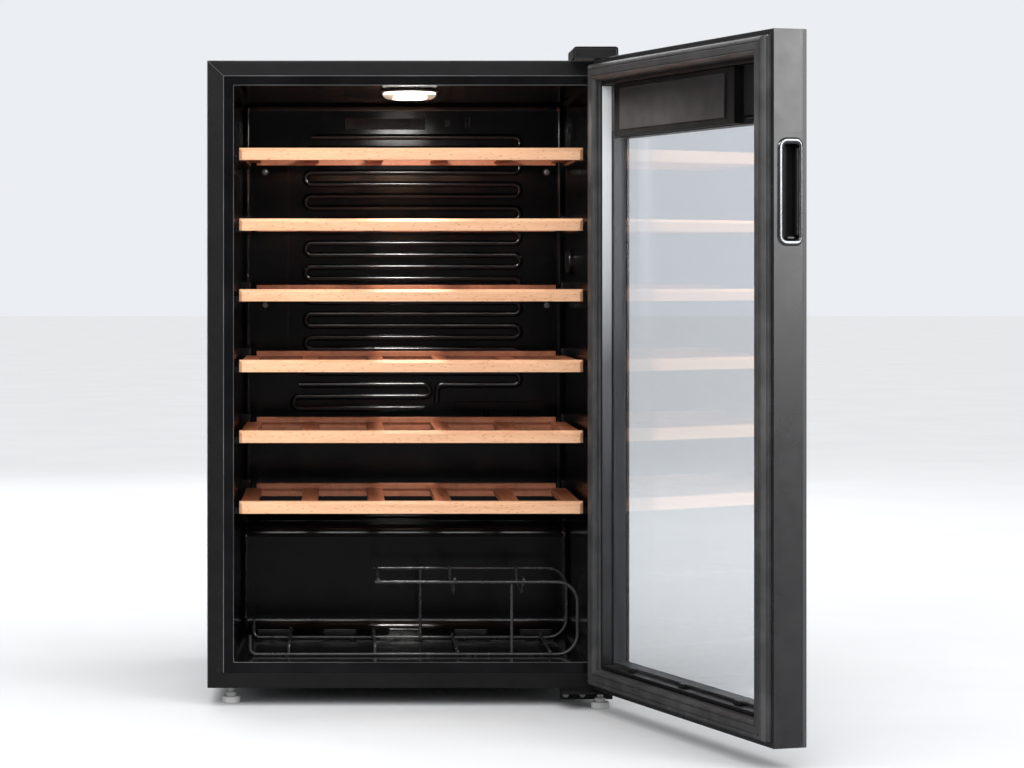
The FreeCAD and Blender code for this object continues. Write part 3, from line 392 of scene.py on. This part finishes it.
MATERIALS = {
    "cabinet_paint": painted("SatinBlackCoat", (0.006, 0.006, 0.0065), (0.4, 0.46), specular=0.4),
    "liner_black": moulded("LinerGloss", (0.0025, 0.0025, 0.003), (0.11, 0.2),
                           grain=0.003, grain_scale=900, ripple=0.01),
    "black_plastic": moulded("BlackMoulding", (0.007, 0.007, 0.0075), (0.32, 0.5), specular=0.4),
    "foam": foamed("Foam"),
    "copper_tube": brushed("Copper", (0.72, 0.36, 0.22), (0.3, 0.5)),
    "compressor_black": painted("Enamel", (0.006, 0.006, 0.007), (0.2, 0.36), peel=0.12, peel_scale=160),
    "zinc_steel": zinc("Zinc"),
    "beech_pale": wood("BeechPale", pale=(0.86, 0.5, 0.295), dark=(0.77, 0.41, 0.225),
                       fleck=(0.45, 0.19, 0.09), along="x", gloss=0.38),
    "beech_red": wood("BeechRed", pale=(0.52, 0.19, 0.092), dark=(0.41, 0.14, 0.066),
                      fleck=(0.2, 0.055, 0.028), along="y", gloss=0.46),
    "black_wire": painted("WireCoat", (0.04, 0.04, 0.041), (0.2, 0.32),
                          peel=0.02, peel_scale=900, specular=1.0),
    "gasket_rubber": rubber("Gasket", (0.038, 0.038, 0.039), (0.36, 0.46)),
    "magnet_strip": rubber("Magnet", (0.06, 0.04, 0.03), (0.6, 0.8)),
    "clear_glass": glass("ClearGlass", (0.98, 0.988, 0.995), tint=(0.99, 0.996, 1.0)),
    "tinted_glass": glass("OuterGlass", (0.965, 0.98, 1.0), tint=(0.975, 0.985, 1.0)),
    "lamp_clear": lit_lens("LampLens"),
    "board_green": moulded("Board", (0.01, 0.09, 0.03), (0.25, 0.4)),
    "frame_black": painted("FrameCoat", (0.014, 0.014, 0.015), (0.24, 0.34),
                           peel=0.01, peel_scale=1500, specular=0.9),
    "cover_grey": moulded("CoverGrey", (0.012, 0.012, 0.0125), (0.4, 0.5), grain=0.01, specular=0.15),
    "display_black": moulded("DisplayBlack", (0.004, 0.004, 0.005), (0.06, 0.12), grain=0.002),
    "chrome": chromed("Chrome"),
    "spacer_aluminium": moulded("SpacerGrey", (0.045, 0.046, 0.05), (0.4, 0.55)),
    "foot_grey": moulded("FootGrey", (0.42, 0.42, 0.41), (0.4, 0.6)),
    "rubber_black": rubber("BlackRubber", (0.012, 0.012, 0.012), (0.5, 0.7)),
}

# Finishes of single pieces, which differ a little from their slot's.
# painted highlight at the top and painted shade lower down, for the strip on the door's step
PAINTED_SHEEN_FOIL = painted_sheen_foil("FoilPaintedSheen")
# painted highlight for the bright lines on the shell's edges, its seams and round the opening
EDGE_HIGHLIGHT = edge_highlight_paint("EdgeHighlightPaint")
# painted shade: the control housing is darker and duller than black moulding, for the shadowed recess round the
# cover
SHADED_HOUSING = moulded("ShadedHousing", (0.0025, 0.0025, 0.003), (0.5, 0.6), specular=0.1)
RIDGE_GLOSS = moulded("RidgeGloss", (0.003, 0.003, 0.0035), (0.14, 0.24),
                      grain=0.003, grain_scale=900, specular=1.0, ripple=0.01)
VARIANTS = {
    "evaporator_relief": RIDGE_GLOSS,
    "filter_cap": RIDGE_GLOSS,
    "shelf_supports": RIDGE_GLOSS,
    "control_housing": SHADED_HOUSING,
}


def dress_nodes():
    """Gives each node of the CAD model its finish."""
    slot_of = {part["node"]: part["material_slot"] for part in frame["record"]["subparts"]}
    for name, obj in nodes.items():
        obj.data.materials.clear()
        obj.data.materials.append(VARIANTS.get(name, MATERIALS[slot_of[name]]))


# ---------------------------------------------------------------- mesh tools

SHARP_ANGLE = 38


def put(name, data):
    """A new object in the scene."""
    obj = bpy.data.objects.new(name, data)
    bpy.context.scene.collection.objects.link(obj)
    return obj


def piece(name, shape, slot, body, smooth=True, finish=None):
    """A mesh piece that rides with a body; finish is its material where it isn't its slot's own."""
    bmesh.ops.recalc_face_normals(shape, faces=shape.faces)
    mesh = bpy.data.meshes.new(name)
    shape.to_mesh(mesh)
    shape.free()
    for face in mesh.polygons:
        face.use_smooth = smooth
    if smooth:
        mesh.set_sharp_from_angle(angle=math.radians(SHARP_ANGLE))
    mesh.materials.append(finish or MATERIALS[slot])
    obj = put(name, mesh)
    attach(obj, body)
    return obj


def whole_turn(count):
    """Angles evenly spaced round a circle."""
    return [k * math.tau / count for k in range(count)]


def flat_face(shape, points):
    """One face with these corners."""
    shape.faces.new([shape.verts.new(point) for point in points])


def bridge(shape, rows, closed_across=True, closed_along=False):
    """Quads between rows of points: closed_across joins a row's ends, closed_along the outermost rows."""
    verts = [[shape.verts.new(point) for point in row] for row in rows]
    following = verts[1:] + verts[:1] if closed_along else verts[1:]
    for one, two in zip(verts, following):
        count = len(one) if closed_across else len(one) - 1
        for k in range(count):
            m = (k + 1) % len(one)
            shape.faces.new((one[k], one[m], two[m], two[k]))
    return verts


def brick(shape, low, high, place, chamfer=0.4):
    """A small block between two corners, in mm, its edges broken, carried by place(x, y, z)."""
    centre = [(a + b) / 2 for a, b in zip(low, high)]
    half = [(b - a) / 2 for a, b in zip(low, high)]
    inner = half[2] - chamfer
    rings = []
    for level, shrink in ((-half[2], chamfer), (-inner, 0), (inner, 0), (half[2], chamfer)):
        wide = half[0] - shrink
        deep = half[1] - shrink
        flat_x = wide - chamfer
        flat_y = deep - chamfer
        outline = ((-flat_x, -deep), (flat_x, -deep), (wide, -flat_y), (wide, flat_y),
                   (flat_x, deep), (-flat_x, deep), (-wide, flat_y), (-wide, -flat_y))
        rings.append([place(centre[0] + x, centre[1] + y, centre[2] + level) for x, y in outline])
    verts = bridge(shape, rings)
    shape.faces.new(verts[0])
    shape.faces.new(verts[-1])


# ---------------------------------------------------------------- the door's pieces

# Section of the seal: inset from the door's edge, and depth, which is negative towards the cabinet.
SEAL_SECTION = ((7, 0), (7, -3.2), (8.6, -4.6), (7.4, -6.4), (7.6, -9.2), (9.4, -12.0), (11.6, -12.7),
                (13.6, -12.7), (14.4, -11.5), (15.2, -12.7), (22.6, -12.7), (23.4, -11.5), (24.2, -12.7),
                (25.9, -12.6), (28.6, -10.4), (29.4, -7.0), (28.4, -4.8), (29.6, -3.0), (29.8, 0))
SEAL_STEPS = 60
SEAL_WAVE = 0.14
SEAL_JITTER = 0.015


def around_door(inset):
    """The corners of a rectangle that lies inset mm inside the door's edges."""
    return ((inset, DOOR_LOW + inset), (DOOR_WIDE - inset, DOOR_LOW + inset),
            (DOOR_WIDE - inset, DOOR_HIGH - inset), (inset, DOOR_HIGH - inset))


def door_seal():
    """The soft lobed seal, mitred at the door's corners and slightly wavy between them."""
    seal = bmesh.new()
    for side in range(4):
        rows = []
        for step in range(SEAL_STEPS + 1):
            t = step / SEAL_STEPS
            ripple = SEAL_WAVE * math.sin(9 * t * math.pi) * math.sin(t * math.pi)
            wave = abs(ripple + random.uniform(-SEAL_JITTER, SEAL_JITTER))
            if step in (0, SEAL_STEPS):
                wave = 0
            row = []
            for inset, depth in SEAL_SECTION:
                corners = around_door(inset)
                u0, z0 = corners[side]
                u1, z1 = corners[(side + 1) % 4]
                lift = wave * min(1, -depth / 8)
                row.append(on_door(u0 + (u1 - u0) * t, depth + lift, z0 + (z1 - z0) * t))
            rows.append(row)
        bridge(seal, rows, closed_across=False)
    seal_ring = piece("DoorSeal", seal, "gasket_rubber", "door")
    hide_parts("door_gasket")


HOLE_RADIUS = 0.62
HOLE_PITCH = 3.2
HOLE_ROWS = (19.5, 22.5, 25.5)


def spacer_holes():
    """The punched holes in both upright faces of the spacer between the panes, as dark discs: painted shade inside
    the holes.
    """
    holes = bmesh.new()
    count = int((SPACER_HIGH - SPACER_LOW) / HOLE_PITCH)
    for across in SPACER_FACES:
        for depth in HOLE_ROWS:
            for k in range(count):
                z = SPACER_LOW + (k + 0.5) * HOLE_PITCH
                rim = [(HOLE_RADIUS * math.cos(a), HOLE_RADIUS * math.sin(a)) for a in whole_turn(6)]
                flat_face(holes, [on_door(across, depth + out, z + up) for out, up in rim])
    piece("SpacerHoles", holes, "rubber_black", "door", smooth=False)


STRIP_FACE = 36.0
STRIP_THICK = 0.35
STRIP_INNER, STRIP_OUTER = -2.6, 10.6
STRIP_LOW, STRIP_HIGH = DOOR_LOW + 38, DOOR_HIGH - 37


def step_strip():
    """The strip on the hinge-side step of the door's opening, bright towards the top with a painted highlight."""
    strip = bmesh.new()
    brick(strip, (STRIP_FACE, STRIP_INNER, STRIP_LOW),
          (STRIP_FACE + STRIP_THICK, STRIP_OUTER, STRIP_HIGH), on_door, chamfer=0.1)
    piece("StepStrip", strip, "spacer_aluminium", "door", finish=PAINTED_SHEEN_FOIL)


# The rim's bead, from the mouth outwards: share of its width, and mm proud of the door's edge. It starts
# RIM_START from the centres of the mouth's corner arcs.
RIM_BEAD = ((0, -1.2), (0, 0.7), (0.1, 1.25), (0.25, 1.7), (0.45, 2.0), (0.6, 2.0), (0.78, 1.75),
            (0.92, 1.2), (1, 0.5), (1, 0.02))
RIM_START = 4.4
CORNER_STEPS = 8


def grip_corners():
    """The arcs round the finger cup's mouth: each point's arc centre, and its direction from it."""
    front, back = GRIP_FRONT + GRIP_CORNER, GRIP_BACK - GRIP_CORNER
    low, high = GRIP_LOW + GRIP_CORNER, GRIP_HIGH - GRIP_CORNER
    points = []
    for quarter, (depth, z) in enumerate(((back, high), (front, high), (front, low), (back, low))):
        for step in range(CORNER_STEPS + 1):
            a = math.radians(90 * (quarter + step / CORNER_STEPS))
            points.append((depth, z, math.cos(a), math.sin(a)))
    return points


def handle_rim():
    """The bright rim of the handle: a rounded bead that runs round the finger cup's mouth."""
    rim = bmesh.new()
    rows = []
    for depth, z, outwards, upwards in grip_corners():
        sideways = RIM_INWARDS if outwards < 0 else RIM_OUTWARDS
        width = math.hypot(sideways * outwards, RIM_ENDS * upwards)
        row = []
        for share, proud in RIM_BEAD:
            reach = RIM_START + share * width
            row.append(on_door(DOOR_WIDE + proud, depth + reach * outwards, z + reach * upwards))
        rows.append(row)
    bridge(rim, rows, closed_across=False, closed_along=True)
    rim_piece = piece("HandleRim", rim, "chrome", "door")
    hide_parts("handle_bezel")


def cup_ribs():
    """Inside the finger cup: three fine ribs, a ledge along its outer wall and a step at its foot."""
    cup = bmesh.new()
    for depth in (15.4, 17.8, 20.2):
        brick(cup, (DOOR_WIDE - 17.8, depth - 0.5, GRIP_LOW + 9),
              (DOOR_WIDE - 15.6, depth + 0.5, GRIP_HIGH - 9), on_door, chamfer=0.3)
    brick(cup, (DOOR_WIDE - 9, GRIP_BACK - 2.2, GRIP_LOW + 5),
          (DOOR_WIDE - 1.6, GRIP_BACK + 0.2, GRIP_HIGH - 5), on_door, chamfer=0.7)
    brick(cup, (DOOR_WIDE - 12, GRIP_FRONT + 5, GRIP_LOW + 0.2),
          (DOOR_WIDE - 2, GRIP_BACK - 4, GRIP_LOW + 5), on_door, chamfer=1.6)
    piece("CupRibs", cup, "frame_black", "door")


def pane_clips():
    """Three clips that hold the panes along the foot of the door's opening."""
    clips = bmesh.new()
    foot = DOOR_LOW + 36
    for across in (110, 268, 426):
        brick(clips, (across - 9, 4.5, foot), (across + 9, 10.5, foot + 5), on_door, chamfer=0.8)
        brick(clips, (across - 3, 2.5, foot), (across + 3, 6.5, foot + 3), on_door, chamfer=0.6)
    piece("PaneClips", clips, "black_plastic", "door")


# ---------------------------------------------------------------- the cabinet's pieces

# Rings of the lamp's lens: radius, mm under the ceiling, and how far every other facet is drawn in.
LENS_RINGS = ((35.4, 3.6, 0), (36.4, 5.2, 0), (36.4, 8.0, 0), (33.6, 11.2, 0.9), (29.0, 13.2, 0.9),
              (20.0, 13.6, 0.5), (10.0, 13.9, 0.2), (0.5, 14.0, 0))
LENS_FACETS = 72
# Rings of the collar round it: radius, and mm under the ceiling.
COLLAR_RINGS = ((34.8, 0.1), (38.6, 0.1), (39.4, 1.2), (39.0, 3.4), (37.2, 4.4), (34.8, 4.0))
COLLAR_FACETS = 64


def lamp_ring(radius, drop, count, drawn_in=0):
    """Points round the lamp's axis, drop mm under the ceiling; every other one is drawn in."""
    ring = []
    for k, a in enumerate(whole_turn(count)):
        r = (radius - (drawn_in if k % 2 else 0)) * MM
        ring.append(Vector((LAMP.x + r * math.cos(a), LAMP.y + r * math.sin(a), lamp_high.z - drop * MM)))
    return ring


def lamp_dome():
    """The faceted lens of the lamp in the ceiling."""
    lens = bmesh.new()
    verts = bridge(lens, [lamp_ring(radius, drop, LENS_FACETS, rib) for radius, drop, rib in LENS_RINGS])
    lens.faces.new(verts[-1])
    lens_piece = piece("LampDome", lens, "lamp_clear", "cabinet", smooth=False)
    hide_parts("lamp_lens")


def lamp_collar():
    """The dark ring that holds the lens."""
    collar = bmesh.new()
    rows = [lamp_ring(radius, drop, COLLAR_FACETS) for radius, drop in COLLAR_RINGS]
    bridge(collar, rows, closed_along=True)
    piece("LampCollar", collar, "black_plastic", "cabinet")


def side_lines(shape, x, width, z_low, z_high, proud, deep, chamfer):
    """Two thin upright strips in the cabinet's front, one x mm to each side of its middle."""
    for middle in (-x, x):
        brick(shape, (middle - width / 2, -proud, z_low), (middle + width / 2, deep, z_high), cab, chamfer)


def level_line(shape, x, z_low, z_high, proud, deep, chamfer):
    """A thin level strip in the cabinet's front, x mm long to each side of its middle."""
    brick(shape, (-x, -proud, z_low), (x, deep, z_high), cab, chamfer)


MITRE_HALF = 0.35
MITRE_PROUD = 0.08


def mitre_line(shape, side):
    """The seam of the shell's mitred upper corner, a flat line just proud of its front, bright with the painted
    edge highlight.
    """
    outer = Vector((side * (SHELL_HALF - 0.6), SHELL_HIGH - 0.6))
    inner = Vector((side * (LINER_HALF + 0.6), LINER_HIGH))
    run = (inner - outer).normalized() * MITRE_HALF
    across = Vector((run.y, -run.x))
    corners = (outer + across, inner + across, inner - across, outer - across)
    flat_face(shape, [cab(corner.x, -MITRE_PROUD, corner.y) for corner in corners])


def fold_highlights():
    """Painted highlights: thin bright strips on the edges of the folded shell, and on the seam between the shell's
    and the liner's flanges.
    """
    edges = bmesh.new()
    fold = SHELL_HALF - 0.4
    side_lines(edges, fold, 1.0, SHELL_LOW + 6, SHELL_HIGH - 0.4, proud=0.12, deep=0.5, chamfer=0.15)
    level_line(edges, fold, SHELL_HIGH - 1, SHELL_HIGH, proud=0.12, deep=0.5, chamfer=0.15)
    seam = LINER_HALF + 0.4
    side_lines(edges, seam, 0.9, LINER_LOW + 1, LINER_HIGH - 0.6, proud=0.12, deep=0.4, chamfer=0.12)
    level_line(edges, seam, LINER_HIGH - 0.6, LINER_HIGH + 0.3, proud=0.12, deep=0.4, chamfer=0.12)
    for side in (-1, 1):
        mitre_line(edges, side)
    # the strips are painted highlight, far lighter than the black coat
    piece("FoldHighlights", edges, "cabinet_paint", "cabinet", finish=EDGE_HIGHLIGHT)


def opening_highlight():
    """A painted highlight: a bright line round the opening, where the liner turns inwards and catches the light.
    """
    lip = bmesh.new()
    line = {"proud": 0.1, "deep": 0.3, "chamfer": 0.1}
    side_lines(lip, OPENING_HALF + 0.3, 0.6, OPENING_LOW, OPENING_HIGH, **line)
    level_line(lip, OPENING_HALF, OPENING_HIGH - 0.3, OPENING_HIGH + 0.4, **line)
    level_line(lip, OPENING_HALF, OPENING_LOW - 0.4, OPENING_LOW + 0.3, **line)
    piece("OpeningHighlight", lip, "liner_black", "cabinet", finish=EDGE_HIGHLIGHT)


RIB_HALF = 5
RIB_SUNK = 0.5
RIB_PROUD = 1.6
RIB_CHAMFER = 1.4


def back_ribs():
    """The pressed ribs of the back sheet: two upright and three level."""
    back = bmesh.new()
    low, high = BACK - RIB_SUNK, BACK + RIB_PROUD
    for x in (-190, 190):
        brick(back, (x - RIB_HALF, low, 235), (x + RIB_HALF, high, 810), cab, RIB_CHAMFER)
    for z in (240, 525, 805):
        brick(back, (-186, low, z - RIB_HALF), (186, high, z + RIB_HALF), cab, RIB_CHAMFER)
    piece("BackRibs", back, "zinc_steel", "cabinet")


# Outline of a screw's head: share of its radius, and mm proud of the sheet.
HEAD_OUTLINE = ((1, 0), (1, 0.7), (0.8, 1.5), (0.45, 1.9))
# The bars of its cross: half their width, share of the head's radius, and how proud their faces stand.
CROSS_HALF = 0.35
CROSS_REACH = 0.55
CROSS_FACES = (1.5, 2.05)


def pan_head(shape, x, y, z, radius=3.6, facing=1):
    """A cross-head screw that faces the back, or the front with facing -1."""
    rows = []
    for share, proud in HEAD_OUTLINE:
        r = radius * share
        rows.append([cab(x + r * math.cos(a), y + facing * proud, z + r * math.sin(a))
                     for a in whole_turn(16)])
    verts = bridge(shape, rows)
    shape.faces.new(verts[-1])
    low, high = sorted(y + facing * proud for proud in CROSS_FACES)
    for wide, tall in ((radius * CROSS_REACH, CROSS_HALF), (CROSS_HALF, radius * CROSS_REACH)):
        brick(shape, (x - wide, low, z - tall), (x + wide, high, z + tall), cab, chamfer=0.1)


def back_screws():
    """Screws along all four edges of the back sheet."""
    screws = bmesh.new()
    for x in (-258, -130, 0, 130, 258):
        for z in (222, 842):
            pan_head(screws, x, BACK, z)
    for x in (-258, 258):
        for z in (380, 530, 690):
            pan_head(screws, x, BACK, z)
    piece("BackScrews", screws, "zinc_steel", "cabinet")


WALL_PLUG_FACE = 462


def wall_screws():
    """The four screws in the liner's back wall, which face the front."""
    plugs = bmesh.new()
    for x in (-204, 211):
        for z in (526, 722):
            pan_head(plugs, x, WALL_PLUG_FACE, z, radius=4.2, facing=-1)
    piece("WallScrews", plugs, "zinc_steel", "cabinet")


def blank_plate():
    """A plate without lettering on the back sheet."""
    plate = bmesh.new()
    brick(plate, (-120, BACK - 0.2, 690), (-20, BACK + 0.5, 750), cab, chamfer=0.2)
    piece("BlankPlate", plate, "foot_grey", "cabinet")


# ---------------------------------------------------------------- stage, lights, camera; in metres

FLOOR_HALF = 40


def stage_floor():
    """A pale floor, which mirrors show darker, so that black surfaces reflect a dark studio."""
    shape = bmesh.new()
    flat_face(shape, [(x * FLOOR_HALF, y * FLOOR_HALF, 0) for x, y in ((-1, -1), (1, -1), (1, 1), (-1, 1))])
    mesh = bpy.data.meshes.new("Floor")
    shape.to_mesh(mesh)
    shape.free()
    floor = put("Floor", mesh)
    stone = Shader("PaleFloor", grey(0.7), roughness=0.8, Specular_IOR_Level=0.1)
    pale = stone.ramp(stone.noise(3, detail=4), (0.3, (0.68, 0.69, 0.7)), (0.7, (0.71, 0.72, 0.73)))
    ray = stone.add("ShaderNodeLightPath").outputs
    # a ray through glass counts as glossy too, and sees the pale floor
    mirrored = stone.add("ShaderNodeMath", {0: ray["Is Glossy Ray"], 1: ray["Is Transmission Ray"]},
                         operation="SUBTRACT", use_clamp=True)
    stone.colour(stone.mix("MIX", mirrored.outputs[0], pale, (0.1, 0.1, 0.105, 1)))
    mesh.materials.append(stone.mat)


def area_light(name, place, target, width, height, power, colour=(1, 1, 1)):
    """A rectangular light at a place, turned to a target."""
    data = bpy.data.lights.new(name, "AREA")
    data.shape = "RECTANGLE"
    data.size = width
    data.size_y = height
    data.energy = power
    data.color = colour
    light = put(name, data)
    light.location = place
    light.rotation_mode = "QUATERNION"
    light.rotation_quaternion = (Vector(target) - Vector(place)).to_track_quat("-Z", "Y")


def sky_light(power):
    """Soft light from above that gloss doesn't mirror."""
    data = bpy.data.lights.new("Sky", "SUN")
    data.energy = power
    data.angle = math.radians(100)
    sky = put("Sky", data)
    sky.rotation_euler = (math.radians(30), math.radians(8), 0)
    sky.visible_glossy = False


def studio_lights():
    """Softboxes round the object, a soft sky, and the bulb under the lens."""
    area_light("SoftboxRight", (2.53, -2.62, 1.42), target=(0.2, 0, 0.6), width=1.3, height=1.7, power=42)
    area_light("SoftboxLeft", (-3.2, -2.4, 1.5), target=(0, 0, 0.5), width=1.2, height=1.8, power=22)
    area_light("FrontFill", (-0.6, -4.6, 2.9), target=(0, 0, 0.4), width=2.4, height=1.0, power=42)
    area_light("Back", (-1.2, 3.4, 2.6), target=(0, 0, 0.5), width=2.6, height=2.0, power=60)
    sky_light(power=3.4)
    under_lens = LAMP - Vector((0, 0, 0.004))
    straight_down = LAMP - Vector((0, 0, 1))
    warm = (1, 0.98, 0.95)
    area_light("Bulb", under_lens, straight_down, width=0.06, height=0.05, power=1.5, colour=warm)


def studio_world():
    """Pale to the camera and through glass, and much dimmer as a light and in mirrors."""
    world = bpy.data.worlds.new("Studio")
    bpy.context.scene.world = world
    world.use_nodes = True
    studio = Tree(world.node_tree)
    seen = studio.tree.nodes["Background"]
    seen.inputs["Color"].default_value = (0.83, 0.855, 0.89, 1)
    ray = studio.add("ShaderNodeLightPath").outputs
    strength = studio.spread(ray["Is Glossy Ray"], 0.28, 0.06, start=0, end=1)
    around = studio.add("ShaderNodeBackground", {"Color": (0.95, 0.97, 1.0, 1), "Strength": strength})
    direct = studio.add("ShaderNodeMath", {0: ray["Is Camera Ray"], 1: ray["Is Transmission Ray"]},
                        operation="MAXIMUM")
    both = {0: direct.outputs[0], 1: around.outputs[0], 2: seen.outputs[0]}
    blend = studio.add("ShaderNodeMixShader", both)
    studio.link(blend.outputs[0], studio.tree.nodes["World Output"].inputs["Surface"])


def studio_camera():
    """A level camera in front of the cabinet, shifted to frame it together with its open door."""
    camera = put("Camera", bpy.data.cameras.new("Camera"))
    camera.location = cab(-100.05, -4062.5, 568.1)
    camera.rotation_euler = (math.radians(90), 0, 0)
    camera.data.lens = 107.97
    camera.data.sensor_width = 36
    camera.data.shift_x = 0.1722
    camera.data.shift_y = -0.1048
    camera.data.clip_end = 200
    bpy.context.scene.camera = camera
    bpy.context.scene.view_settings.view_transform = "Standard"


dress_nodes()
door_seal()
spacer_holes()
lamp_dome()
lamp_collar()
step_strip()
handle_rim()
cup_ribs()
fold_highlights()
opening_highlight()
pane_clips()
back_ribs()
back_screws()
wall_screws()
blank_plate()
stage_floor()
studio_lights()
studio_world()
studio_camera()
